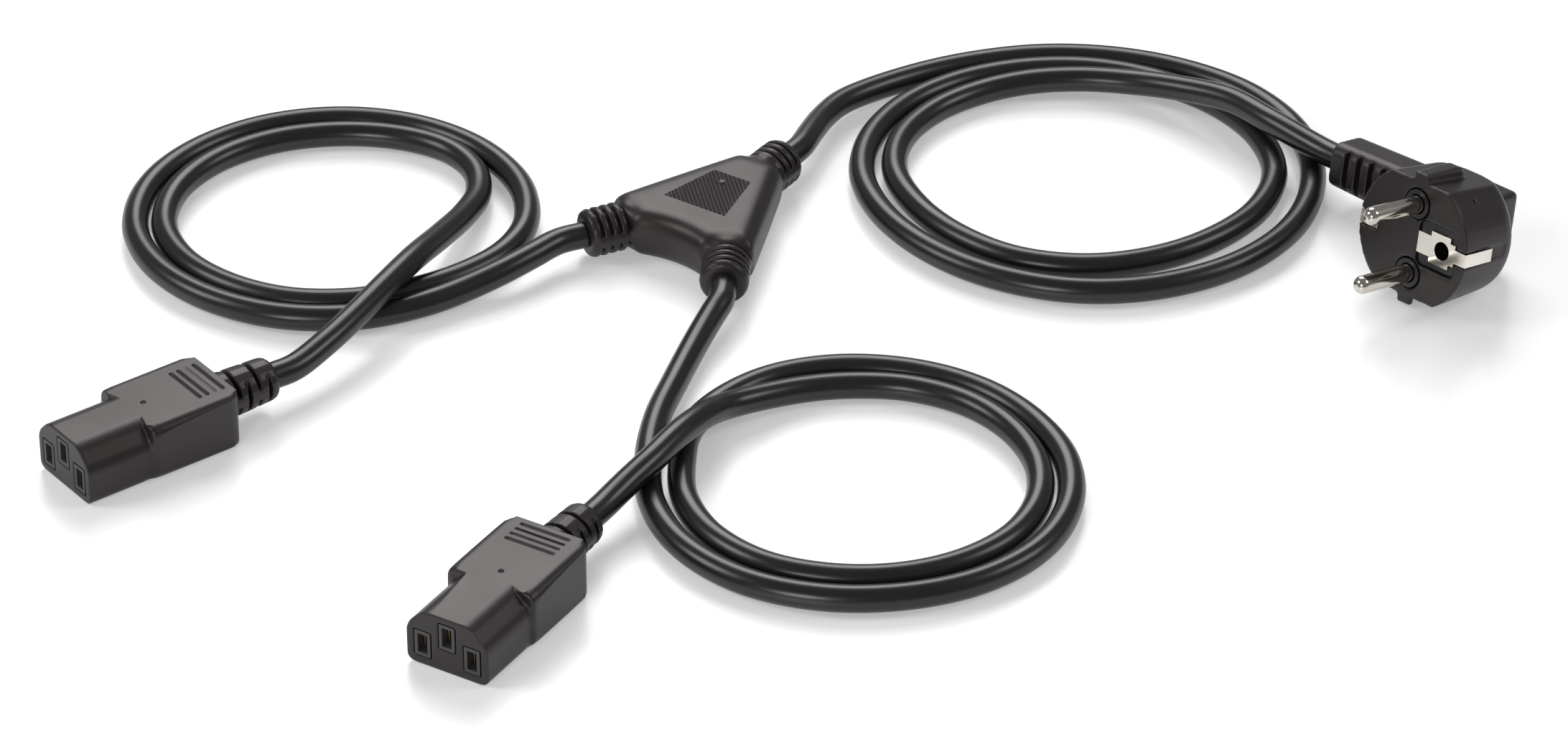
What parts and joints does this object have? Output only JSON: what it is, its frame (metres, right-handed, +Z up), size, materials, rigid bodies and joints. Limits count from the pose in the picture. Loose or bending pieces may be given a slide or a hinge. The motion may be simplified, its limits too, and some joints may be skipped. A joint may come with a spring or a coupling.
{
  "type": "power cord splitter",
  "caption": "Power cord splitter: an angled earthed mains plug and appliance connectors on coiled black cords, joined by a flat moulded Y junction.",
  "frame": {"origin": "floor level under the middle of the junction's outline", "axes": "+X along the junction towards the cord of the mains plug, +Z up, the cords lie on the floor"},
  "size_m": [0.3377, 0.3261, 0.0362],
  "materials": {
    "moulding": "satin black moulded PVC",
    "carrier": "dark grey moulded insert",
    "bridge": "hard black plastic",
    "cord": "smooth black cord jacket",
    "nickel": "bright nickel plating",
    "brass": "dull stamped brass"
  },
  "bodies": {
    "root": {"junction_moulding": "moulding", "connector_a_moulding": "moulding", "connector_a_carrier": "carrier", "connector_a_contact_line": "brass", "connector_a_contact_neutral": "brass", "connector_a_contact_earth": "brass", "connector_b_moulding": "moulding", "connector_b_carrier": "carrier", "connector_b_contact_line": "brass", "connector_b_contact_neutral": "brass", "connector_b_contact_earth": "brass", "plug_moulding": "moulding", "plug_bridge": "bridge", "plug_pin_upper": "nickel", "plug_pin_lower": "nickel", "plug_earth_socket": "nickel", "plug_earth_strip": "nickel", "cord_a": "cord", "cord_b": "cord", "cord_plug": "cord"}
  },
  "joints": []
}
